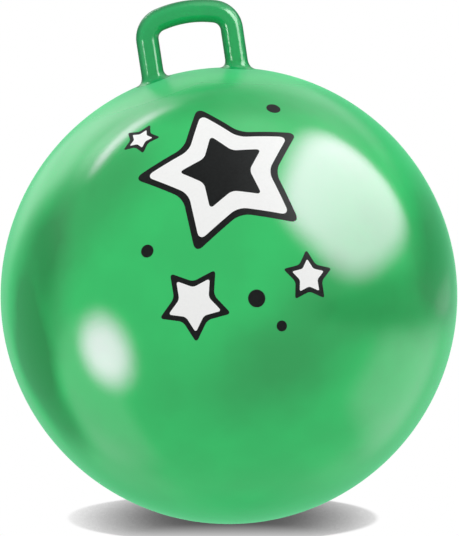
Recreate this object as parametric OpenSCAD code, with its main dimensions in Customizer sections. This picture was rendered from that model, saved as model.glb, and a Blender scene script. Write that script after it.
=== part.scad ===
// Hopper ball: an inflated vinyl ball with a closed loop handle and a push-in stopper valve.
// It stands on the small flat that its own weight presses into it, with the handle leaning to the left.
// The origin is the middle of that flat, +Z is up and the front of the ball faces -Y.

/* [Ball] */
// Outside diameter of the inflated ball
ball_d = 450; // [400:5:600]
// Thickness of the vinyl skin
skin_t = 1; // [0.8:0.1:2.5]
// Diameter of the flat that the ball rests on
rest_d = 46; // [30:1:60]
// Lean of the handle's axis to the left at rest, in degrees
lean = 8.5; // [0:0.5:20]
// Extra thickness inside the skin under each foot of the handle
pad_t = 3; // [1:0.5:5]
// Radius of the rounded inside of those thick places
pad_round_r = 60; // [40:1:100]

/* [Handle] */
// Thickness of the handle's round grip
grip_d = 21.8; // [16:0.2:26]
// Clear width between the handle's legs
finger_w = 61.5; // [50:0.5:90]
// Clear height from the top of the ball to the underside of the grip
finger_h = 46.5; // [40:0.5:70]
// Radius inside the handle's two upper corners
corner_r = 8.5; // [5:0.5:14]
// Radius of the arch along the middle of the grip
arch_r = 105; // [80:1:160]
// Reach of the fillet where each leg runs out onto the ball
fillet_r = 8.5; // [5:0.5:12]
// Thickness of each foot at its outer edge
foot_rim_t = 0.5; // [0.3:0.1:1]
// Bond line between a foot and the ball
bond_t = 0.05; // [0.04:0.01:0.1]

/* [Valve seat] */
// Angle of the valve from the handle's axis, towards the back, in degrees
valve_angle = 50; // [35:1:110]
// Diameter of the hole that the seat takes in the skin
skin_hole_d = 22; // [20:0.5:26]
// Diameter of the collar that shows on the outside
collar_d = 32; // [29:0.5:38]
// Height of the collar over the ball
collar_t = 1.6; // [1:0.1:3]
// Chamfer on the collar's edge
collar_chamfer = 0.8; // [0.3:0.1:1]
// Diameter of the flange inside the skin
flange_d = 36; // [30:0.5:42]
// Thickness of that flange
flange_t = 2; // [1.5:0.1:4]
// Outside diameter of the neck that points into the ball
neck_d = 15; // [13:0.5:18]
// Length of the neck below the flange
neck_l = 20; // [16:0.5:30]
// Diameter of the air hole
air_hole_d = 9; // [8:0.1:10]

/* [Stopper] */
// Diameter of the stopper's head
head_d = 17; // [15:0.5:18]
// Thickness of the head at its edge
head_t = 2.2; // [1.6:0.1:3]
// Rise of the domed top over the head's edge
head_dome = 0.8; // [0.4:0.1:1.2]
// Depth that the head sinks into the collar
head_sink = 1.2; // [0.8:0.1:1.5]
// Length of the shank below the head
shank_l = 20; // [16:0.5:24]
// Diameter of the shank between its sealing rings
shank_d = 7.4; // [6.6:0.1:7.8]
// Diameter of the shank's tip
tip_d = 5.6; // [5:0.1:6.4]
// Length of the tapered tip
tip_l = 5; // [3:0.5:6]
// Number of sealing rings on the shank
ring_n = 3; // [2:1:4]
// Length of one sealing ring along the shank
ring_l = 2.4; // [1.6:0.1:3]
// Diameter of the hollow in the shank
core_d = 3.6; // [2.5:0.1:4]
// Depth of that hollow from the tip
core_l = 14; // [8:0.5:15]
// Radial clearance of the stopper in its seat
stopper_gap = 0.1; // [0.05:0.01:0.2]

/* [Hidden] */
$fn = 96;
// Overrun of every cut past the face that it opens
cut = 5;

// Ball: the centre of the sphere stands this high when the flat is on the floor
ball_r = ball_d / 2;
rest_r = rest_d / 2;
ball_z = sqrt(ball_r * ball_r - rest_r * rest_r);

// Handle: its middle line is two straight legs, two bends and an arch between them
grip_r = grip_d / 2;
foot_r = grip_r + fillet_r;
leg_x = (finger_w + grip_d) / 2;
bend_r = corner_r + grip_r;
bend_x = leg_x - bend_r;
arch_turn = asin(bend_x / (arch_r - bend_r));
arch_z = ball_r + finger_h + grip_r - arch_r;
bend_z = arch_z + (arch_r - bend_r) * cos(arch_turn);

// Handle: how finely the loft is divided
loft_sides = 32;
foot_rings = 3;
fillet_rings = 6;
bend_rings = 7;
arch_rings = 6;

// Valve: heights are from the ball's outer surface along the valve's axis
air_hole_r = air_hole_d / 2;
collar_r = collar_d / 2;
flange_r = flange_d / 2;
neck_r = neck_d / 2;
head_r = head_d / 2;
recess_r = head_r + stopper_gap;
recess_z = collar_t - head_sink;
flange_z = skin_z(flange_r) - skin_t - flange_t;
neck_z = flange_z - neck_l;

// Stopper: its head rests over the collar's recess with the same clearance
head_z = recess_z + stopper_gap;
ring_r = air_hole_r - stopper_gap;
dome_r = (head_r * head_r + head_dome * head_dome) / (2 * head_dome);
shank_r = shank_d / 2;
tip_r = tip_d / 2;
ring_pitch = (shank_l - tip_l) / ring_n;

// Height of the ball's outer surface at a distance from the valve's axis
function skin_z(r) = sqrt(ball_r * ball_r - r * r) - ball_r;

// Point over the ball at a place beside the handle's axis, raised along the axis
function on_ball(x, y, raise) = [x, y, sqrt(ball_r * ball_r - x * x - y * y) + raise];

// Direction round a leg, turned about so that both legs share one order of points
function round_leg(side, i) = [side * cos(360 * i / loft_sides), sin(360 * i / loft_sides)];

// Ring of points on the ball round a foot's middle
function ball_ring(side, r, raise) =
    [for (i = [0 : loft_sides - 1])
        let (d = round_leg(side, i))
        on_ball(side * leg_x + r * d.x, r * d.y, raise)];

// Ring of the fillet from the foot's edge, at share 0, to the straight leg, at share 1
function fillet_ring(side, share) =
    let (edge = ball_ring(side, foot_r, bond_t + foot_rim_t))
    let (corner = ball_ring(side, grip_r, bond_t + foot_rim_t))
    [for (i = [0 : loft_sides - 1])
        let (top = corner[i] + [0, 0, fillet_r])
        let (low = edge[i] + share * (corner[i] - edge[i]))
        low + share * (corner[i] + share * (top - corner[i]) - low)];

// Ring of the round grip, square to the middle line, which stands at an angle on an arc
function grip_ring(centre_x, centre_z, arc_r, angle) =
    [for (i = [0 : loft_sides - 1])
        let (turn = 360 * i / loft_sides)
        let (reach = arc_r + grip_r * cos(turn))
        [centre_x + reach * cos(angle), grip_r * sin(turn), centre_z + reach * sin(angle)]];

// Rings of a bend or of the arch, from one angle to another
function arc_rings(centre_x, centre_z, arc_r, from, to, count) =
    [for (k = [0 : count]) grip_ring(centre_x, centre_z, arc_r, from + (to - from) * k / count)];

// Rings of one foot, from the middle of its underside up to the leg
function foot_ring_list(side) =
    concat([for (k = [1 : foot_rings]) ball_ring(side, foot_r * k / foot_rings, bond_t)],
           [for (k = [0 : fillet_rings]) fillet_ring(side, k / fillet_rings)]);

function reversed(list) = [for (k = [len(list) - 1 : -1 : 0]) list[k]];

// Faces of a closed skin over equal rings, with a fan from a point at each end
function skin_faces(rings) =
    let (last = rings * loft_sides)
    concat(
        [for (i = [0 : loft_sides - 1]) [last, (i + 1) % loft_sides, i]],
        [for (k = [0 : rings - 2], i = [0 : loft_sides - 1])
            let (j = (i + 1) % loft_sides, a = k * loft_sides, b = a + loft_sides)
            each [[a + i, a + j, b + j], [a + i, b + j, b + i]]],
        [for (i = [0 : loft_sides - 1])
            let (a = (rings - 1) * loft_sides)
            [last + 1, a + i, a + (i + 1) % loft_sides]]);

// Places the ball's own frame, whose +Z is the handle's axis, over the floor
module leaned() {
    translate([0, 0, ball_z]) rotate([0, -lean, 0]) children();
}

// Places the valve's own frame, whose origin is on the ball's outer surface
module at_valve() {
    leaned() rotate([-valve_angle, 0, 0]) translate([0, 0, ball_r]) children();
}

// Sphere about the ball's centre, cut level at a height over the floor
module flattened_sphere(r, floor_z) {
    intersection() {
        translate([0, 0, ball_z]) sphere(r);
        translate([0, 0, floor_z]) cylinder(r = ball_r + cut, h = ball_d + cut);
    }
}

// Thick place inside the skin under one foot of the handle
module foot_pad(side) {
    pad_z = sqrt(ball_r * ball_r - leg_x * leg_x);
    leaned()
        rotate([0, side * atan(leg_x / pad_z), 0])
        translate([0, 0, ball_r - skin_t - pad_t + pad_round_r])
        sphere(pad_round_r);
}

// Bare skin of the ball, with the hole for the valve's seat
module skin() {
    difference() {
        flattened_sphere(ball_r, 0);
        difference() {
            flattened_sphere(ball_r - skin_t, skin_t);
            for (side = [-1, 1]) foot_pad(side);
        }
        at_valve() translate([0, 0, -cut]) cylinder(d = skin_hole_d, h = cut + cut);
    }
}

module ball_shell() {
    color("mediumseagreen") skin();
}

// Round loop with a foot at each end that spreads onto the ball
module handle() {
    rings = concat(
        foot_ring_list(1),
        arc_rings(bend_x, bend_z, bend_r, 0, 90 - arch_turn, bend_rings),
        arc_rings(0, arch_z, arch_r, 90 - arch_turn, 90 + arch_turn, arch_rings),
        arc_rings(-bend_x, bend_z, bend_r, 90 + arch_turn, 180, bend_rings),
        reversed(foot_ring_list(-1)));
    points = concat(
        [for (ring = rings) each ring],
        [for (side = [1, -1]) on_ball(side * leg_x, 0, bond_t)]);
    color("seagreen") leaned() polyhedron(points, skin_faces(len(rings)));
}

// Soft grommet that grips the edge of the hole in the skin and carries the stopper
module valve_seat() {
    color("forestgreen")
    difference() {
        at_valve() rotate_extrude() polygon([
            [air_hole_r, neck_z],
            [neck_r, neck_z],
            [neck_r, flange_z],
            [flange_r, flange_z],
            [flange_r, skin_z(flange_r) - skin_t / 2],
            [collar_r, skin_z(collar_r) - skin_t / 2],
            [collar_r, collar_t - collar_chamfer],
            [collar_r - collar_chamfer, collar_t],
            [recess_r, collar_t],
            [recess_r, recess_z],
            [air_hole_r, recess_z]]);
        skin();
    }
}

// Hard push-in stopper with a domed head and barbed sealing rings, hollow from its tip
module valve_stopper() {
    color("white") at_valve() translate([0, 0, head_z])
    difference() {
        union() {
            intersection() {
                cylinder(r = head_r, h = head_t + head_dome);
                translate([0, 0, head_t + head_dome - dome_r]) sphere(dome_r);
            }
            rotate_extrude() polygon(concat(
                [[0, head_t / 2], [shank_r, head_t / 2]],
                [for (k = [1 : ring_n])
                    let (low = tip_l - shank_l + (ring_n - k) * ring_pitch)
                    each [[shank_r, low + ring_l], [ring_r, low + ring_l], [shank_r, low]]],
                [[tip_r, -shank_l], [0, -shank_l]]));
        }
        translate([0, 0, -shank_l - cut]) cylinder(d = core_d, h = core_l + cut);
    }
}

ball_shell();
handle();
valve_seat();
valve_stopper();
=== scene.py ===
import math

import bmesh
import bpy
from mathutils import Matrix, Vector


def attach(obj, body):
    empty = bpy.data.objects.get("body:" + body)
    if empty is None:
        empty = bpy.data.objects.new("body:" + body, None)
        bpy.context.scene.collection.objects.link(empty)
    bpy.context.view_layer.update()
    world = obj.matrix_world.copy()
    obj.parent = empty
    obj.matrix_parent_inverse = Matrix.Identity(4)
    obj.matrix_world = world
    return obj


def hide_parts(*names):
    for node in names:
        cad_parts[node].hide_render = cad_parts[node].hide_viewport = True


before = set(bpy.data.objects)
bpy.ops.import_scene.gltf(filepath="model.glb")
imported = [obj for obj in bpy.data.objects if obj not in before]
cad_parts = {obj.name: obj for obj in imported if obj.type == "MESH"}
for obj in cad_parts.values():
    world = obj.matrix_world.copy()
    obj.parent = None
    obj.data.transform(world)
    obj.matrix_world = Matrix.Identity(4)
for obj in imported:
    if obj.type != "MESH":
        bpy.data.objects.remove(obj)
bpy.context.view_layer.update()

# Sizes of the ball, its handle and its valve, in metres, as in the solids
MM = 0.001
BALL_R = 225 * MM
BALL_CENTRE = Vector((0, 0, 223.8214 * MM))
LEAN = math.radians(8.5)
SKIN_T = 1.0 * MM

GRIP_R = 10.9 * MM
FINGER_GAP_H = 46.5 * MM
LEG_X = 41.65 * MM
BEND_R = 19.4 * MM
BEND_X = LEG_X - BEND_R
ARCH_R = 105 * MM
ARCH_TURN = math.asin(BEND_X / (ARCH_R - BEND_R))
ARCH_Z = BALL_R + FINGER_GAP_H + GRIP_R - ARCH_R
BEND_Z = ARCH_Z + (ARCH_R - BEND_R) * math.cos(ARCH_TURN)
FILLET_R = 8.5 * MM
FOOT_R = GRIP_R + FILLET_R

VALVE_ANGLE = math.radians(50)
SKIN_HOLE_R = 11 * MM

# Section of the grip: reach of the flat front and half of its panel, as shares of the radius;
# then the powers that round the panel's edges and the sides
GRIP_FRONT = 0.93
GRIP_PANEL = 0.44
GRIP_EDGE = 12.5
GRIP_ROUND = 4

# Frames: the ball's own, with +Z up the handle's axis, and the valve's own on the ball's surface
BALL_FRAME = Matrix.Translation(BALL_CENTRE) @ Matrix.Rotation(-LEAN, 4, "Y")
VALVE_TURN = BALL_FRAME @ Matrix.Rotation(-VALVE_ANGLE, 4, "X")
VALVE_FRAME = VALVE_TURN @ Matrix.Translation((0, 0, BALL_R))

# Middle of each foot of the handle on the ball
FOOT_RISE = math.sqrt(BALL_R ** 2 - LEG_X ** 2)
FEET = [BALL_FRAME @ Vector((side * LEG_X, 0, FOOT_RISE)) for side in (1, -1)]

CAMERA_AZIMUTH = math.radians(-5.5)


def way_to(longitude, latitude):
    """Direction from the ball: longitude to the right of the camera's side, latitude up."""
    a = CAMERA_AZIMUTH + math.radians(longitude)
    e = math.radians(latitude)
    return Vector((math.sin(a) * math.cos(e), -math.cos(a) * math.cos(e), math.sin(e)))


def patch_axes(longitude, latitude, tilt):
    """Direction of a patch, and the axes that run across it and up it."""
    middle = way_to(longitude, latitude)
    across = Vector((0, 0, 1)).cross(middle).normalized()
    turn = Matrix.Rotation(math.radians(tilt), 3, middle)
    return middle, turn @ across, turn @ middle.cross(across)


# Nodes

def new_finish(name):
    """A material and its node tree, still empty."""
    finish = bpy.data.materials.new(name)
    finish.use_nodes = True
    tree = finish.node_tree
    tree.nodes.clear()
    return finish, tree


def set_input(tree, socket, value):
    """Links an output to an input, or sets the input's plain value."""
    if isinstance(value, bpy.types.NodeSocket):
        tree.links.new(value, socket)
    else:
        socket.default_value = value


def add_node(tree, kind, values=None, **settings):
    """A node with its settings and the values of its inputs."""
    made = tree.nodes.new(kind)
    for key, value in settings.items():
        setattr(made, key, value)
    for key, value in (values or {}).items():
        set_input(tree, made.inputs[key], value)
    return made


def sum_up(tree, operation, first, second=0.0, clamp=False):
    """Output of a Math node."""
    return add_node(tree, "ShaderNodeMath", {0: first, 1: second},
                    operation=operation, use_clamp=clamp).outputs[0]


def vector_sum(tree, operation, first, second=(0, 0, 0)):
    """Vector that a Vector Math node gives."""
    return add_node(tree, "ShaderNodeVectorMath", {0: first, 1: second},
                    operation=operation).outputs["Vector"]


def dot_with(tree, way, axis):
    """How far a direction runs along an axis."""
    return add_node(tree, "ShaderNodeVectorMath", {0: way, 1: axis},
                    operation="DOT_PRODUCT").outputs["Value"]


def distance_from(tree, place, point):
    """How far a place is from a point."""
    return add_node(tree, "ShaderNodeVectorMath", {0: place, 1: point},
                    operation="DISTANCE").outputs["Value"]


def ease(tree, value, low, high, to_low=0.0, to_high=1.0):
    """Output that eases from one level to another as a value passes from low to high."""
    return add_node(tree, "ShaderNodeMapRange",
                    {0: value, 1: low, 2: high, 3: to_low, 4: to_high},
                    interpolation_type="SMOOTHSTEP").outputs[0]


def place_of(tree):
    """Object coordinates of the point that is shaded."""
    return add_node(tree, "ShaderNodeTexCoord").outputs["Object"]


def cloud(tree, place, scale, detail=2.0, roughness=0.5):
    """Soft noise between 0 and 1."""
    return add_node(tree, "ShaderNodeTexNoise",
                    {"Vector": place, "Scale": scale, "Detail": detail, "Roughness": roughness}
                    ).outputs["Fac"]


def mix_colour(tree, share, first, second):
    """Output of a colour mix."""
    mix = add_node(tree, "ShaderNodeMix", data_type="RGBA")
    for index, value in ((0, share), (6, first), (7, second)):
        set_input(tree, mix.inputs[index], value)
    return mix.outputs[2]


def bumped(tree, height, strength, distance, under=None):
    """Normal of a surface with a height laid over it."""
    values = {"Strength": strength, "Distance": distance, "Height": height}
    if under is not None:
        values["Normal"] = under
    return add_node(tree, "ShaderNodeBump", values).outputs["Normal"]


def shade(tree, values):
    """The surface itself, joined to the output."""
    surface = add_node(tree, "ShaderNodeBsdfPrincipled", values)
    out = add_node(tree, "ShaderNodeOutputMaterial")
    tree.links.new(surface.outputs["BSDF"], out.inputs["Surface"])


def rounded_reach(tree, shares, corner):
    """How far out a place lies in a patch with rounded corners, 1 at the patch's edge."""
    powers = [sum_up(tree, "POWER", sum_up(tree, "ABSOLUTE", share), corner) for share in shares]
    return sum_up(tree, "POWER", sum_up(tree, "ADD", *powers), 1 / corner)


LEAST_AHEAD = 0.02
OUT_OF_REACH = 9.0


def soft_box(tree, way, longitude, latitude, half_w, half_h, tilt, corner, edge, strength):
    """Level of a soft-edged patch that lies in one direction from the ball."""
    middle, across, up = patch_axes(longitude, latitude, tilt)
    ahead = dot_with(tree, way, middle)
    depth = sum_up(tree, "MAXIMUM", ahead, LEAST_AHEAD)
    shares = []
    for axis, half in ((across, half_w), (up, half_h)):
        offset = sum_up(tree, "DIVIDE", dot_with(tree, way, axis), depth)
        shares.append(sum_up(tree, "DIVIDE", offset, math.tan(math.radians(half))))
    behind = sum_up(tree, "LESS_THAN", ahead, LEAST_AHEAD)
    out = sum_up(tree, "ADD", rounded_reach(tree, shares, corner),
                 sum_up(tree, "MULTIPLY", behind, OUT_OF_REACH))
    return ease(tree, out, 1 - edge, 1 + edge, strength, 0.0)


# Finishes

BALL_GREEN = (0.013, 0.64, 0.143, 1)
# The ball's deeper green serves its pigment clouds and the painted shade and dark reflection of its
# drifts
BALL_DEEP_GREEN_AND_SHADE = (0.010, 0.30, 0.064, 1)
HANDLE_GREEN = (0.008, 0.455, 0.120, 1)
# The handle's deeper green serves its pigment clouds and the painted shade down its sides
HANDLE_DEEP_GREEN_AND_SHADE = (0.006, 0.22, 0.070, 1)
PEARL_TINT = (1.0, 0.42, 0.92, 1)
PEARL_BLOOM = (0.20, 1.0, 0.46, 1)
STOPPER_WHITE = (0.82, 0.82, 0.79, 1)
STOPPER_SHADED = (0.77, 0.77, 0.73, 1)
INK_WHITE = (0.95, 0.955, 0.945, 1)
INK_WHITE_WORN = (0.92, 0.925, 0.915, 1)
INK_BLACK = (0.008, 0.009, 0.009, 1)
INK_BLACK_WORN = (0.012, 0.014, 0.014, 1)

# Pearl vinyl: share of the deeper green in its clouds and, as painted shade, along the handle's
# plane down its sides; from where to where the handle's green, painted round the feet as shade and
# reflection of the legs, and the matt ring fade round the feet; how much rougher the ring and the
# scuffs are
CLOUD_SHARE = 0.16
SIDE_SHADE_SHARE = 0.95
SIDE_SHADE_FADE = (1.5 * MM, 9 * MM)
FOOT_PAINTED_SHADE_FADE = (14 * MM, 60 * MM)
FOOT_MATT_FADE = (55 * MM, 110 * MM)
FOOT_MATT = 0.20
SCUFF_MATT = 0.05

# Drifts of deeper green in the ball's skin, partly painted shade and dark reflection, partly
# pigment
# clouds, in degrees: longitude, latitude, half width, half height, tilt; then the corner's power,
# the softness of the edge and the share of deeper green
SHADE_AND_PIGMENT_DRIFTS = [
    (-43, 27, 10.5, 17, -26, 2, 0.75, 0.54),
    (-55.5, 7, 10.5, 22, 0, 2, 0.65, 0.66),
    (-56.6, -14, 8.2, 21, 14, 2, 0.46, 0.84),
    (-34, 40, 14, 8, -30, 2, 0.80, 0.08),
    (74.5, 13, 21, 17, -8, 2, 0.45, 1.0),
    (42, 4, 24, 8, -14, 2, 0.80, 0.58),
    (12, -8.5, 22, 10, 22, 2, 0.85, 0.50),
    (6, 66, 30, 8, 0, 2, 0.80, 0.42),
    (128, -14, 30, 9, 14, 2, 0.80, 0.70),
    (-134, 22, 26, 9, -16, 2, 0.80, 0.70),
    (172, 30, 26, 8, 20, 2, 0.80, 0.60),
    (-160, -30, 30, 9, 10, 2, 0.80, 0.60),
]
SWIRL_SCALE = 12
SWIRL_REACH = 0.14


def shade_and_pigment_drift(tree, place):
    """Share of the deeper green at a place in the skin: soft drifts with cloudy edges, partly
    painted shade and dark reflection, partly pigment.
    """
    way = vector_sum(tree, "NORMALIZE", vector_sum(tree, "SUBTRACT", place, BALL_CENTRE))
    noise = add_node(tree, "ShaderNodeTexNoise",
                     {"Vector": place, "Scale": SWIRL_SCALE, "Detail": 3}).outputs["Color"]
    swirl = vector_sum(tree, "SUBTRACT", noise, (0.5, 0.5, 0.5))
    swirl = vector_sum(tree, "MULTIPLY", swirl, (SWIRL_REACH, SWIRL_REACH, SWIRL_REACH))
    way = vector_sum(tree, "ADD", way, swirl)
    share = 0.0
    for drift in SHADE_AND_PIGMENT_DRIFTS:
        share = sum_up(tree, "ADD", share, soft_box(tree, way, *drift), clamp=True)
    return share


def near_feet(tree, place, inner, outer):
    """Share that is 1 at the handle's feet and fades to 0 away from them."""
    shares = [ease(tree, distance_from(tree, place, foot), inner, outer, 1.0, 0.0) for foot in FEET]
    return sum_up(tree, "MAXIMUM", *shares)


def pearl_vinyl(name, light, deep_and_shade, roughness, gloss, coat, ripple, ripple_scale, bloom=0.0,
                skin_of_ball=False, shaded_sides=False):
    """Pearl vinyl: clouds in the pigment, moulded ripple and fine scuffs under a clear skin, with
    painted shade and reflection in the ball's drifts, round its feet and down the handle's sides.
    """
    finish, tree = new_finish(name)
    place = place_of(tree)
    clouds = ease(tree, cloud(tree, place, scale=14, detail=3), 0.36, 0.64)
    share = sum_up(tree, "MULTIPLY", clouds, CLOUD_SHARE)
    rough = roughness
    if skin_of_ball:
        # Drifts of deeper green: partly painted shade and dark reflection, partly pigment
        share = sum_up(tree, "ADD", share, shade_and_pigment_drift(tree, place), clamp=True)
    # Painted shade: the handle's green deepens towards its plane, so that its sides read darker
    if shaded_sides:
        across = add_node(tree, "ShaderNodeSeparateXYZ", {0: place}).outputs["Y"]
        edge = ease(tree, sum_up(tree, "ABSOLUTE", across), *SIDE_SHADE_FADE, SIDE_SHADE_SHARE, 0.0)
        share = sum_up(tree, "MAXIMUM", share, edge)
    colour = mix_colour(tree, share, light, deep_and_shade)
    if skin_of_ball:
        # Painted shade and reflection of the legs: round the feet the ball takes the handle's green
        colour = mix_colour(tree, near_feet(tree, place, *FOOT_PAINTED_SHADE_FADE), colour, HANDLE_GREEN)
        matt = sum_up(tree, "MULTIPLY", near_feet(tree, place, *FOOT_MATT_FADE), FOOT_MATT)
        rough = sum_up(tree, "ADD", matt, roughness)
    normal = bumped(tree, cloud(tree, place, ripple_scale), ripple, distance=1.0 * MM)
    normal = bumped(tree, cloud(tree, place, scale=700), strength=0.04, distance=0.15 * MM,
                    under=normal)
    scuff = ease(tree, cloud(tree, place, scale=95, detail=6, roughness=0.75), 0.60, 0.78)
    rough = sum_up(tree, "ADD", sum_up(tree, "MULTIPLY", scuff, SCUFF_MATT), rough)
    shade(tree, {
        "Base Color": colour, "Roughness": rough, "Normal": normal,
        "IOR": 1.9, "Specular IOR Level": gloss, "Specular Tint": PEARL_TINT,
        "Coat Weight": coat, "Coat Roughness": 0.05, "Coat IOR": 2.6, "Coat Normal": normal,
        "Sheen Weight": bloom, "Sheen Roughness": 0.38, "Sheen Tint": PEARL_BLOOM,
    })
    return finish


def print_ink(name, colour, worn):
    """Screen-printed ink: a thin even film with fine pinholes and a matt skin."""
    finish, tree = new_finish(name)
    place = place_of(tree)
    mottle = ease(tree, cloud(tree, place, scale=420, detail=4, roughness=0.7), 0.3, 0.75)
    tint = mix_colour(tree, mottle, colour, worn)
    normal = bumped(tree, cloud(tree, place, scale=900), strength=0.06, distance=0.1 * MM)
    rough = sum_up(tree, "ADD", 0.36, sum_up(tree, "MULTIPLY", mottle, 0.12))
    shade(tree, {"Base Color": tint, "Roughness": rough, "Normal": normal,
                 "IOR": 1.5, "Specular IOR Level": 0.2})
    return finish


def moulded_plastic(name, colour, shaded, roughness):
    """Plain hard plastic with a fine spark-eroded skin."""
    finish, tree = new_finish(name)
    place = place_of(tree)
    tint = mix_colour(tree, cloud(tree, place, scale=160, detail=3), colour, shaded)
    normal = bumped(tree, cloud(tree, place, scale=3800), strength=0.12, distance=0.06 * MM)
    rough = sum_up(tree, "ADD", roughness,
                   sum_up(tree, "MULTIPLY", cloud(tree, place, scale=700), 0.12))
    shade(tree, {"Base Color": tint, "Roughness": rough, "Normal": normal, "IOR": 1.49})
    return finish


ball_vinyl = pearl_vinyl("ball_vinyl", BALL_GREEN, BALL_DEEP_GREEN_AND_SHADE, roughness=0.13, gloss=0.5,
                         coat=0.0, ripple=0.06, ripple_scale=60, bloom=0.9, skin_of_ball=True)
handle_vinyl = pearl_vinyl("handle_vinyl", HANDLE_GREEN, HANDLE_DEEP_GREEN_AND_SHADE, roughness=0.34,
                           gloss=0.06, coat=0.32, ripple=0.36, ripple_scale=260, shaded_sides=True)
valve_vinyl = pearl_vinyl("valve_vinyl", HANDLE_GREEN, HANDLE_DEEP_GREEN_AND_SHADE, roughness=0.36, gloss=0.3,
                          coat=0.15, ripple=0.06, ripple_scale=180)
stopper_plastic = moulded_plastic("stopper_plastic", STOPPER_WHITE, STOPPER_SHADED, roughness=0.32)
ink_white = print_ink("ink_white", INK_WHITE, INK_WHITE_WORN)
ink_black = print_ink("ink_black", INK_BLACK, INK_BLACK_WORN)


# Pieces

SHARP_EDGE = math.radians(38)
SKIN_STEPS_DOWN, SKIN_STEPS_ROUND = 110, 180
FLAT_REACH = 20 * MM
FLAT_EASE = 0.6 * MM
MOULD_LINE_HALF, MOULD_LINE_RISE, MOULD_LINE_SINK = 1.3 * MM, 0.08 * MM, 0.20 * MM
MOULD_LINE_STEPS = 240
MOULD_LINE_SKIP = math.radians(9)
GRIP_SEGMENTS = 120
BEND_STEPS, ARCH_STEPS, FILLET_STEPS = 14, 16, 10
FOOT_SINK = 0.0006
SEAM_START = 2 * MM
SEAM_RISE = 0.12 * MM
VALVE_STEPS, STOPPER_STEPS = 72, 64

# Outlines of the valve's collar and of the stopper in millimetres: radius, height over the ball
COLLAR_OUTLINE = [
    (4.5, -23.7), (7.5, -23.7), (7.5, -3.72), (18, -3.72), (18, -1.77), (11, -1.32),
    (11, -0.32), (16, -0.66), (16, 0.9), (15.1, 1.6), (13.4, 1.6), (13.1, 1.85), (12.3, 1.85),
    (12.0, 1.6), (9.4, 1.6), (8.6, 1.3), (8.6, 0.4), (4.9, 0.4), (4.5, 0.0),
]
STOPPER_HEAD = [
    (0, 3.22), (1.0, 3.22), (1.3, 3.46), (4.6, 3.28), (4.9, 3.0), (5.5, 2.95), (5.8, 3.13),
    (8.2, 2.76), (8.5, 2.45), (8.5, 0.75), (8.25, 0.5), (4.3, 0.5), (3.7, 0.1),
]
STOPPER_BARB = [(3.7, 2.4), (4.4, 2.3), (4.35, 2.0), (3.7, 0)]
STOPPER_BARB_LOWS = (-7.1, -10.6, -14.5)
STOPPER_TIP = [(2.9, -19.3), (2.6, -19.5), (1.8, -19.5), (1.8, -5.6), (0, -5.6)]


def new_object(name, shape, finish):
    """Turns a bmesh into an object of the scene, at the origin."""
    mesh = bpy.data.meshes.new(name)
    shape.to_mesh(mesh)
    shape.free()
    mesh.materials.append(finish)
    made = bpy.data.objects.new(name, mesh)
    bpy.context.scene.collection.objects.link(made)
    return made


def finished_piece(name, shape, finish, body, stands_for=None):
    """Turns a bmesh into a piece that rides on a body."""
    made = new_object(name, shape, finish)
    made.data.shade_smooth()
    made.data.set_sharp_from_angle(angle=SHARP_EDGE)
    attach(made, body)
    if stands_for:
        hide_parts(stands_for)


def close_up(shape, gap=1e-6):
    """Merges doubles and turns every face outwards."""
    bmesh.ops.remove_doubles(shape, verts=shape.verts[:], dist=gap)
    bmesh.ops.recalc_face_normals(shape, faces=shape.faces[:])


def drawn_line(shape, points, closed=False):
    """Corners of a chain of edges, drawn in the X-Z plane from points in millimetres."""
    corners = [shape.verts.new((x * MM, 0, z * MM)) for x, z in points]
    pairs = list(zip(corners, corners[1:])) + ([(corners[-1], corners[0])] if closed else [])
    for pair in pairs:
        shape.edges.new(pair)
    return corners


def rounded(shape, corners, reach, segments):
    """Rounds the corners of a drawn line."""
    bmesh.ops.bevel(shape, geom=corners, offset=reach, offset_type="OFFSET", affect="VERTICES",
                    segments=segments, profile=0.5, material=-1)


def turned(shape, steps):
    """Spins what was drawn once round the Z axis and closes it."""
    bmesh.ops.spin(shape, geom=shape.verts[:] + shape.edges[:], cent=(0, 0, 0), axis=(0, 0, 1),
                   angle=2 * math.pi, steps=steps, use_merge=True)
    close_up(shape)


def pressed_flat(z):
    """Height of the skin over the floor, eased into the flat that the weight presses."""
    return (z + math.sqrt(z * z + FLAT_EASE * FLAT_EASE)) / 2


def make_ball_skin():
    """Hollow skin with the valve's hole and the resting flat."""
    shape = bmesh.new()
    hole = math.asin(SKIN_HOLE_R / BALL_R)
    start = shape.verts.new((BALL_R * math.sin(hole), 0, BALL_R * math.cos(hole)))
    bmesh.ops.spin(shape, geom=[start], cent=(0, 0, 0), axis=(0, 1, 0),
                   angle=math.pi - hole, steps=SKIN_STEPS_DOWN)
    turned(shape, SKIN_STEPS_ROUND)
    bmesh.ops.transform(shape, matrix=VALVE_TURN, verts=shape.verts[:])
    for corner in shape.verts:
        if corner.co.z < FLAT_REACH:
            corner.co.z = pressed_flat(corner.co.z)
    shape.normal_update()
    bmesh.ops.solidify(shape, geom=shape.faces[:], thickness=SKIN_T)
    finished_piece("ball_skin", shape, ball_vinyl, "ball", "ball_shell")


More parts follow.
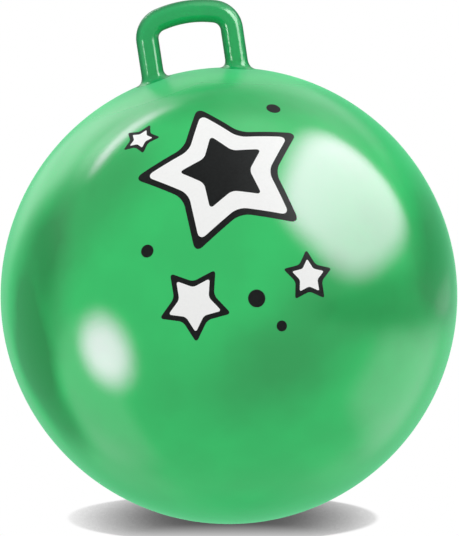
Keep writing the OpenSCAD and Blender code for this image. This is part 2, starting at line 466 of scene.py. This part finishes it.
def make_mould_line():
    """Fine raised line where the halves of the mould met, in the handle's plane."""
    shape = bmesh.new()
    half, rise, sink = MOULD_LINE_HALF, MOULD_LINE_RISE, MOULD_LINE_SINK
    outline = [(-half, -sink), (-half * 0.45, rise * 0.8), (0, rise),
               (half * 0.45, rise * 0.8), (half, -sink)]
    face = shape.faces.new([shape.verts.new((0, y, -BALL_R - z)) for y, z in outline])
    start = Matrix.Rotation(MOULD_LINE_SKIP, 4, "Y")
    bmesh.ops.transform(shape, matrix=start, verts=shape.verts[:])
    bmesh.ops.spin(shape, geom=[face], cent=(0, 0, 0), axis=(0, 1, 0),
                   angle=2 * math.pi - 2 * MOULD_LINE_SKIP, steps=MOULD_LINE_STEPS)
    close_up(shape)
    bmesh.ops.translate(shape, vec=BALL_CENTRE, verts=shape.verts[:])
    finished_piece("mould_line", shape, ball_vinyl, "ball")


def on_ball(x, y):
    """Point of the ball's surface beside the handle's axis, in the ball's own frame."""
    return Vector((x, y, math.sqrt(BALL_R ** 2 - x * x - y * y)))


def grip_reach(way):
    """Reach of the grip's section in a direction across it: flat front and back, full sides."""
    slope = (2 ** (1 / GRIP_ROUND) - GRIP_PANEL) / GRIP_FRONT
    near, far = abs(way.x) + abs(way.y) * slope, abs(abs(way.x) - abs(way.y) * slope)
    side = ((near ** GRIP_ROUND + far ** GRIP_ROUND) / 2) ** (1 / GRIP_ROUND)
    front = abs(way.y) / GRIP_FRONT
    return GRIP_R / (side ** GRIP_EDGE + front ** GRIP_EDGE) ** (1 / GRIP_EDGE)


def fillet_point(side, way, share):
    """Point of a foot's fillet, from the leg at share 1 to the ball at share 0."""
    edge = on_ball(side * LEG_X + FOOT_R * way.x, FOOT_R * way.y) * (1 - FOOT_SINK)
    reach = grip_reach(way)
    corner = on_ball(side * LEG_X + reach * way.x, reach * way.y)
    top = corner + Vector((0, 0, FILLET_R))
    return edge * (1 - share) ** 2 + corner * (2 * share * (1 - share)) + top * share ** 2


def rim_of(shape, side):
    """Open rim of the handle's tube on one side."""
    return [edge for edge in shape.edges if edge.is_boundary and edge.verts[0].co.x * side > 0]


def make_handle_loop():
    """Loop of two legs, two bends and an arched grip, with feet that run out onto the ball."""
    shape = bmesh.new()
    bmesh.ops.create_circle(shape, segments=GRIP_SEGMENTS, radius=GRIP_R,
                            matrix=Matrix.Translation((LEG_X, 0, BEND_Z)))
    for corner in shape.verts:
        way = Vector((corner.co.x - LEG_X, corner.co.y)).normalized()
        reach = grip_reach(way)
        corner.co = (LEG_X + reach * way.x, reach * way.y, BEND_Z)
    rim = shape.edges[:]
    for centre, turn, steps in (((BEND_X, 0, BEND_Z), math.pi / 2 - ARCH_TURN, BEND_STEPS),
                                ((0, 0, ARCH_Z), 2 * ARCH_TURN, ARCH_STEPS),
                                ((-BEND_X, 0, BEND_Z), math.pi / 2 - ARCH_TURN, BEND_STEPS)):
        spun = bmesh.ops.spin(shape, geom=rim, cent=centre, axis=(0, -1, 0),
                              angle=turn, steps=steps)
        rim = [part for part in spun["geom_last"] if isinstance(part, bmesh.types.BMEdge)]
    for side in (1, -1):
        for share in [1 - k / FILLET_STEPS for k in range(FILLET_STEPS + 1)]:
            grown = bmesh.ops.extrude_edge_only(shape, edges=rim_of(shape, side))["geom"]
            for corner in [part for part in grown if isinstance(part, bmesh.types.BMVert)]:
                way = Vector((corner.co.x - side * LEG_X, corner.co.y)).normalized()
                corner.co = fillet_point(side, way, share)
        bmesh.ops.holes_fill(shape, edges=rim_of(shape, side), sides=0)
    close_up(shape)
    shape.normal_update()
    for corner in shape.verts:
        if abs(corner.co.y) < 1e-6 and corner.co.length > BALL_R + SEAM_START:
            corner.co += corner.normal * SEAM_RISE
    bmesh.ops.transform(shape, matrix=BALL_FRAME, verts=shape.verts[:])
    finished_piece("handle_loop", shape, handle_vinyl, "ball", "handle")


def make_valve_collar():
    """Soft grommet with a beaded collar outside, a flange and a neck inside."""
    shape = bmesh.new()
    corners = drawn_line(shape, COLLAR_OUTLINE, closed=True)
    rounded(shape, corners[3:4] + corners[8:16], 0.14 * MM, 3)
    turned(shape, VALVE_STEPS)
    bmesh.ops.transform(shape, matrix=VALVE_FRAME, verts=shape.verts[:])
    finished_piece("valve_collar", shape, valve_vinyl, "ball", "valve_seat")


def make_stopper():
    """Push-in stopper: a domed head with a moulded ring, sealing barbs and a hollow shank."""
    shape = bmesh.new()
    barbs = [(r, low + z) for low in STOPPER_BARB_LOWS for r, z in STOPPER_BARB]
    corners = drawn_line(shape, STOPPER_HEAD + barbs + STOPPER_TIP)
    rounded(shape, corners[1:11], 0.1 * MM, 3)
    turned(shape, STOPPER_STEPS)
    bmesh.ops.transform(shape, matrix=VALVE_FRAME, verts=shape.verts[:])
    finished_piece("stopper", shape, stopper_plastic, "stopper", "valve_stopper")


make_ball_skin()
make_mould_line()
make_handle_loop()
make_valve_collar()
make_stopper()


# Print: flat outlines in millimetres, u to the right and v up, laid on the front of the ball

PRINT_TILT = math.radians(59)
PRINT_FRAME = BALL_FRAME @ Matrix.Rotation(PRINT_TILT - math.pi / 2, 4, "X")
PRINT_HALF_W, PRINT_HALF_H = 90, 130
PRINT_STEP = 5
FILM_SINK = 0.1 * MM


def laid_on_ball(u, v, rise):
    """Point over the ball at an arc length right of and above the print's middle."""
    away = math.hypot(u, v) * MM
    angle = away / BALL_R
    reach = BALL_R + rise
    across = reach * math.sin(angle) / away * MM if away > 0 else 0
    return Vector((u * across, -reach * math.cos(angle), v * across))


def star_outline(shape, centre, points, outer, inner, turn, soften):
    """Closed line of a star with softened tips."""
    bmesh.ops.create_circle(shape, segments=2 * points, radius=outer)
    corners = sorted(shape.verts[:], key=lambda corner: math.atan2(corner.co.y, corner.co.x))
    for k, corner in enumerate(corners):
        angle = turn + math.pi * k / points
        reach = outer if k % 2 == 0 else inner
        corner.co = Vector((reach * math.cos(angle), reach * math.sin(angle), 0))
    rounded(shape, corners, soften, 5)
    bmesh.ops.translate(shape, vec=(*centre, 0), verts=shape.verts[:])


def dot_outline(shape, centre, radius):
    """Closed line of a round dot."""
    bmesh.ops.create_circle(shape, segments=40, radius=radius,
                            matrix=Matrix.Translation((*centre, 0)))


def ink_film(shape, rise):
    """Fills an outline, cuts it fine and lays it on the ball as a thin film."""
    open_edges = [edge for edge in shape.edges if not edge.link_faces]
    bmesh.ops.contextual_create(shape, geom=open_edges)
    for axis, reach in (((1, 0, 0), PRINT_HALF_W), ((0, 1, 0), PRINT_HALF_H)):
        for k in range(-reach, reach + 1, PRINT_STEP):
            bmesh.ops.bisect_plane(shape, geom=shape.verts[:] + shape.edges[:] + shape.faces[:],
                                   plane_co=Vector(axis) * k, plane_no=axis)
    for corner in shape.verts:
        corner.co = laid_on_ball(corner.co.x, corner.co.y, rise)
    bmesh.ops.recalc_face_normals(shape, faces=shape.faces[:])
    face = shape.faces[:][0]
    if face.normal.dot(face.calc_center_median()) < 0:
        bmesh.ops.reverse_faces(shape, faces=shape.faces[:])
    shape.normal_update()
    bmesh.ops.solidify(shape, geom=shape.faces[:], thickness=rise + FILM_SINK)
    bmesh.ops.transform(shape, matrix=PRINT_FRAME, verts=shape.verts[:])


def make_print(name, marks, rise, finish):
    """One layer of the print: its marks as one piece."""
    sheet = bmesh.new()
    for draw, sizes in marks:
        mark = bmesh.new()
        draw(mark, *sizes)
        ink_film(mark, rise)
        part = bpy.data.meshes.new("mark")
        mark.to_mesh(part)
        mark.free()
        sheet.from_mesh(part)
        bpy.data.meshes.remove(part)
    finished_piece(name, sheet, finish, "ball")


# Marks: a star's middle, points, outer and inner reach, turn and softening; a dot's middle, radius
STAR_TURN = math.radians(90 + 8)
BLACK_MARKS = [
    (star_outline, ((0, 32), 5, 86, 47, STAR_TURN, 9)),
    (star_outline, ((-50, -88), 5, 36, 19.7, STAR_TURN + 0.35, 4)),
    (star_outline, ((60, -80), 5, 25, 13.7, STAR_TURN - 0.2, 2.8)),
    (star_outline, ((-72, 94), 5, 20, 11, STAR_TURN + 0.5, 2.5)),
    (dot_outline, ((62, 106), 7)),
    (dot_outline, ((-84, -30), 6)),
    (dot_outline, ((8, -94), 8)),
    (dot_outline, ((28, -122), 5)),
]
WHITE_MARKS = [
    (star_outline, ((0, 32), 5, 74, 40.5, STAR_TURN, 8)),
    (star_outline, ((-50, -88), 5, 26.5, 14.5, STAR_TURN + 0.35, 3)),
    (star_outline, ((60, -80), 5, 16.5, 9, STAR_TURN - 0.2, 1.9)),
    (star_outline, ((-72, 94), 5, 12.5, 6.9, STAR_TURN + 0.5, 1.6)),
]
TOP_MARKS = [
    (star_outline, ((0, 32), 5, 42, 23, STAR_TURN, 4.5)),
]
make_print("print_black", BLACK_MARKS, 0.07 * MM, ink_black)
make_print("print_white", WHITE_MARKS, 0.11 * MM, ink_white)
make_print("print_top", TOP_MARKS, 0.15 * MM, ink_black)


# Studio: white floor, soft even light, and the soft boxes that the gloss shows

WHITE = (1, 1, 1, 1)
BACK_LIGHT = (180, -12)
STUDIO_LEVEL = 0.33

# Soft boxes and pale cards that the gloss shows, in degrees: longitude, latitude, half width,
# half height, tilt; then the corner's power, the softness of the edge and how bright it is
SOFT_BOXES = [
    (-131, 47, 14, 2.6, -29, 3, 0.50, 5.3),
    (-134, 43, 15, 6, -29, 3, 0.60, 0.9),
    (-146, 27, 17, 24, 0, 3, 0.45, 0.75),
    (107, -29, 26, 16, 0, 4, 0.40, 0.66),
    (136, -6, 11, 3, 4, 2, 0.50, 0.6),
    (-87, -37, 17, 29, -31, 4, 0.30, 0.44),
    (100, 78, 26, 14, 0, 2, 0.70, 0.6),
    (138, 49, 17, 11, 0, 2, 0.70, 0.55),
    (180, 32, 36, 9, 0, 2, 0.60, 0.50),
    (-140, -54, 20, 12, 0, 2, 0.60, 0.20),
    (142, -46, 20, 14, 0, 2, 0.60, 0.12),
]
# Dark flags, in the same way, with the share of the light that each one takes
DARK_FLAGS = [
    (105, -2, 60, 9, 0, 4, 0.40, 0.45),
    (-123, -11, 22, 31, -24, 4, 0.30, 0.62),
    (180, -44, 22, 26, 0, 2, 0.60, 0.60),
    (180, -8, 28, 22, 0, 2, 0.60, 0.20),
    (180, 60, 34, 12, 0, 2, 0.70, 0.35),
    (142, 11, 30, 14, 0, 2, 0.50, 0.78),
]
# Two soft boxes hang as sheets, a big one close by on the right and one far off at the lower left.
# Levels are those at the foot and at the top. Each lights one side of the ball and fades past it:
# the fading begins and ends at a distance along that side's direction from the ball's middle,
# and left_over is the share of the light that stays
HUNG_BOXES = [
    dict(name="key_box", direction=(71.5, 39.0), far=0.75, half_w=0.414, half_h=0.346, tilt=16.6,
         corner=3, edge=0.28, strength=5.4, levels=(0.82, 1.32),
         side=(15, 15), fade_end=-0.010, fade_start=0.034, left_over=0.15),
    dict(name="fill_box", direction=(-65, -19.5), far=20.0, half_w=4.434, half_h=4.802, tilt=0,
         corner=2, edge=0.58, strength=7.0, levels=(1.0, 1.0),
         side=(-119, 0), fade_end=-0.056, fade_start=-0.029, left_over=0.12),
]


def studio_glow(tree, way):
    """How bright the studio is in a direction from the ball, as its gloss shows it."""
    level = STUDIO_LEVEL
    for box in SOFT_BOXES:
        level = sum_up(tree, "ADD", soft_box(tree, way, *box), level)
    for flag in DARK_FLAGS:
        left = sum_up(tree, "SUBTRACT", 1.0, soft_box(tree, way, *flag))
        level = sum_up(tree, "MULTIPLY", level, left)
    return level


def make_world():
    """White to the camera, plain light from above and behind, and the studio to the gloss."""
    world = bpy.data.worlds.new("studio")
    bpy.context.scene.world = world
    world.use_nodes = True
    world.cycles.sampling_method = "NONE"
    tree = world.node_tree
    tree.nodes.clear()
    way = add_node(tree, "ShaderNodeTexCoord").outputs["Generated"]
    rays = add_node(tree, "ShaderNodeLightPath").outputs
    height = add_node(tree, "ShaderNodeSeparateXYZ", {0: way}).outputs["Z"]
    backward = dot_with(tree, way, way_to(*BACK_LIGHT))
    from_above = ease(tree, height, 0.1, 0.9, to_low=0.85, to_high=1.07)
    from_back = ease(tree, backward, -0.2, 0.8, to_low=0.0, to_high=0.38)
    under_ball = ease(tree, height, -0.95, -0.55, to_low=-0.30, to_high=0.0)
    plain = sum_up(tree, "ADD", sum_up(tree, "ADD", from_above, from_back), under_ball)
    glow = studio_glow(tree, way)
    seen = add_node(tree, "ShaderNodeMix", {0: rays["Is Glossy Ray"], 2: plain, 3: glow}).outputs[0]
    backdrop = sum_up(tree, "MAXIMUM", rays["Is Camera Ray"], rays["Is Transmission Ray"])
    shown = add_node(tree, "ShaderNodeMix", {0: backdrop, 2: seen, 3: 1.0}).outputs[0]
    light = add_node(tree, "ShaderNodeBackground", {"Color": WHITE, "Strength": shown})
    out = add_node(tree, "ShaderNodeOutputWorld")
    tree.links.new(light.outputs[0], out.inputs["Surface"])


def hang_sheet(name, finish, middle, right, up):
    """Hangs a sheet that only the gloss shows."""
    sheet = bmesh.new()
    bmesh.ops.create_grid(sheet, x_segments=1, y_segments=1, size=1)
    place = Matrix((right, up, right.cross(up).normalized())).transposed().to_4x4()
    bmesh.ops.transform(sheet, matrix=Matrix.Translation(middle) @ place, verts=sheet.verts[:])
    made = new_object(name, sheet, finish)
    for ray in ("camera", "diffuse", "transmission", "volume_scatter", "shadow"):
        setattr(made, "visible_" + ray, False)


def glowing(tree, level, clear=False):
    """Plain light of a sheet, joined to the output, that may let the rest of the studio through."""
    light = add_node(tree, "ShaderNodeEmission", {"Color": WHITE, "Strength": level}).outputs[0]
    if clear:
        through = add_node(tree, "ShaderNodeBsdfTransparent").outputs[0]
        light = add_node(tree, "ShaderNodeAddShader", {0: light, 1: through}).outputs[0]
    out = add_node(tree, "ShaderNodeOutputMaterial")
    tree.links.new(light, out.inputs["Surface"])


def lit_place(tree, place, side):
    """How far along a direction from the ball's middle the ray began that meets a sheet here."""
    along = way_to(*side)
    axis = add_node(tree, "ShaderNodeCombineXYZ", dict(zip("XYZ", along))).outputs[0]
    slant = add_node(tree, "ShaderNodeLayerWeight",
                     {"Blend": 0.5, "Normal": axis}).outputs["Facing"]
    ray_length = add_node(tree, "ShaderNodeLightPath").outputs["Ray Length"]
    run = sum_up(tree, "MULTIPLY", ray_length, sum_up(tree, "SUBTRACT", 1.0, slant))
    from_ball = vector_sum(tree, "SUBTRACT", place, BALL_CENTRE)
    return sum_up(tree, "SUBTRACT", dot_with(tree, from_ball, along), run)


def hang_soft_box(name, direction, far, half_w, half_h, tilt, corner, edge, strength, levels,
                  side, fade_end, fade_start, left_over):
    """Soft box that only the gloss shows, on the side of the ball that it lights."""
    out_way, right, up = patch_axes(*direction, tilt)
    middle = BALL_CENTRE + out_way * far
    finish, tree = new_finish(name)
    finish.cycles.emission_sampling = "NONE"
    place = place_of(tree)
    offset = vector_sum(tree, "SUBTRACT", place, middle)
    height = sum_up(tree, "DIVIDE", dot_with(tree, offset, up), half_h)
    width = sum_up(tree, "DIVIDE", dot_with(tree, offset, right), half_w)
    out = rounded_reach(tree, (width, height), corner)
    glow = sum_up(tree, "MULTIPLY", ease(tree, out, 1 - edge, 1 + edge, strength, 0.0),
                  ease(tree, height, -1.0, 1.0, *levels))
    fade = ease(tree, lit_place(tree, place, side), fade_end, fade_start, left_over, 1.0)
    glowing(tree, sum_up(tree, "MULTIPLY", glow, fade), clear=True)
    spread = 1 + edge
    hang_sheet(name, finish, middle, right * half_w * spread, up * half_h * spread)


FLOOR_HALF = 60
SHADOW_AT = way_to(90, 0) * -0.006
SHADOW_EDGE = (0.142, 0.158)
SHADOW_GAIN = 3.8
SHADOW_LEAST = 0.09
SHADOW_SQUEEZE = 0.45


def make_floor():
    """Level white floor that keeps the ball's shadow close round its foot."""
    finish, tree = new_finish("studio_floor")
    finish.cycles.emission_sampling = "NONE"
    open_sky = add_node(tree, "ShaderNodeAmbientOcclusion", {"Distance": 1.0},
                        samples=16).outputs["AO"]
    place, front = place_of(tree), way_to(0, 0)
    ahead = dot_with(tree, place, front)
    squeeze = sum_up(tree, "MULTIPLY", ahead, SHADOW_SQUEEZE)
    drawn_out = add_node(tree, "ShaderNodeVectorMath", {0: front, "Scale": squeeze},
                         operation="SCALE").outputs["Vector"]
    away = distance_from(tree, vector_sum(tree, "ADD", place, drawn_out), SHADOW_AT)
    # Painted shadow: the floor glows, darker where the ball hides the sky above it, cut off round
    # the foot and lifted towards white in front of the ball
    shadow = sum_up(tree, "MULTIPLY", sum_up(tree, "POWER", open_sky, 2.0), SHADOW_GAIN)
    shadow = sum_up(tree, "ADD", shadow, SHADOW_LEAST, clamp=True)
    lit = sum_up(tree, "MAXIMUM", shadow, ease(tree, away, *SHADOW_EDGE))
    lit = sum_up(tree, "MAXIMUM", lit, ease(tree, ahead, 0.0, 0.15, to_low=0.0, to_high=0.95))
    glowing(tree, lit)
    sheet = bmesh.new()
    bmesh.ops.create_grid(sheet, x_segments=1, y_segments=1, size=FLOOR_HALF)
    floor = new_object("studio_floor", sheet, finish)
    floor.visible_glossy = False
    floor.visible_diffuse = False


# Camera: rise in degrees and distance; then in pixels the picture's size and the ball's middle and
# radius in it
CAMERA_RISE = 8
CAMERA_AWAY = 2.5
FRAME_W, FRAME_H = 459, 536
BALL_AT = (228.97, 295.44)
BALL_PX = 228.37


def make_camera():
    """Camera at the photograph's angle, with the ball where the photograph has it."""
    focus_px = BALL_PX / math.tan(math.asin(BALL_R / CAMERA_AWAY))
    lens = bpy.data.cameras.new("camera")
    lens.sensor_width = 36
    lens.lens = focus_px * lens.sensor_width / FRAME_H
    lens.clip_end = 200
    camera = bpy.data.objects.new("camera", lens)
    bpy.context.scene.collection.objects.link(camera)
    bpy.context.scene.camera = camera
    back = way_to(0, CAMERA_RISE)
    right = Vector((math.cos(CAMERA_AZIMUTH), math.sin(CAMERA_AZIMUTH), 0))
    up = back.cross(right)
    per_px = CAMERA_AWAY / focus_px
    aim = BALL_CENTRE + right * (FRAME_W / 2 - BALL_AT[0]) * per_px
    aim += up * (BALL_AT[1] - FRAME_H / 2) * per_px
    camera.location = BALL_CENTRE + back * CAMERA_AWAY
    camera.rotation_mode = "QUATERNION"
    camera.rotation_quaternion = (aim - camera.location).to_track_quat("-Z", "Y")


make_world()
for box in HUNG_BOXES:
    hang_soft_box(**box)
make_floor()
make_camera()
bpy.context.scene.view_settings.view_transform = "Standard"
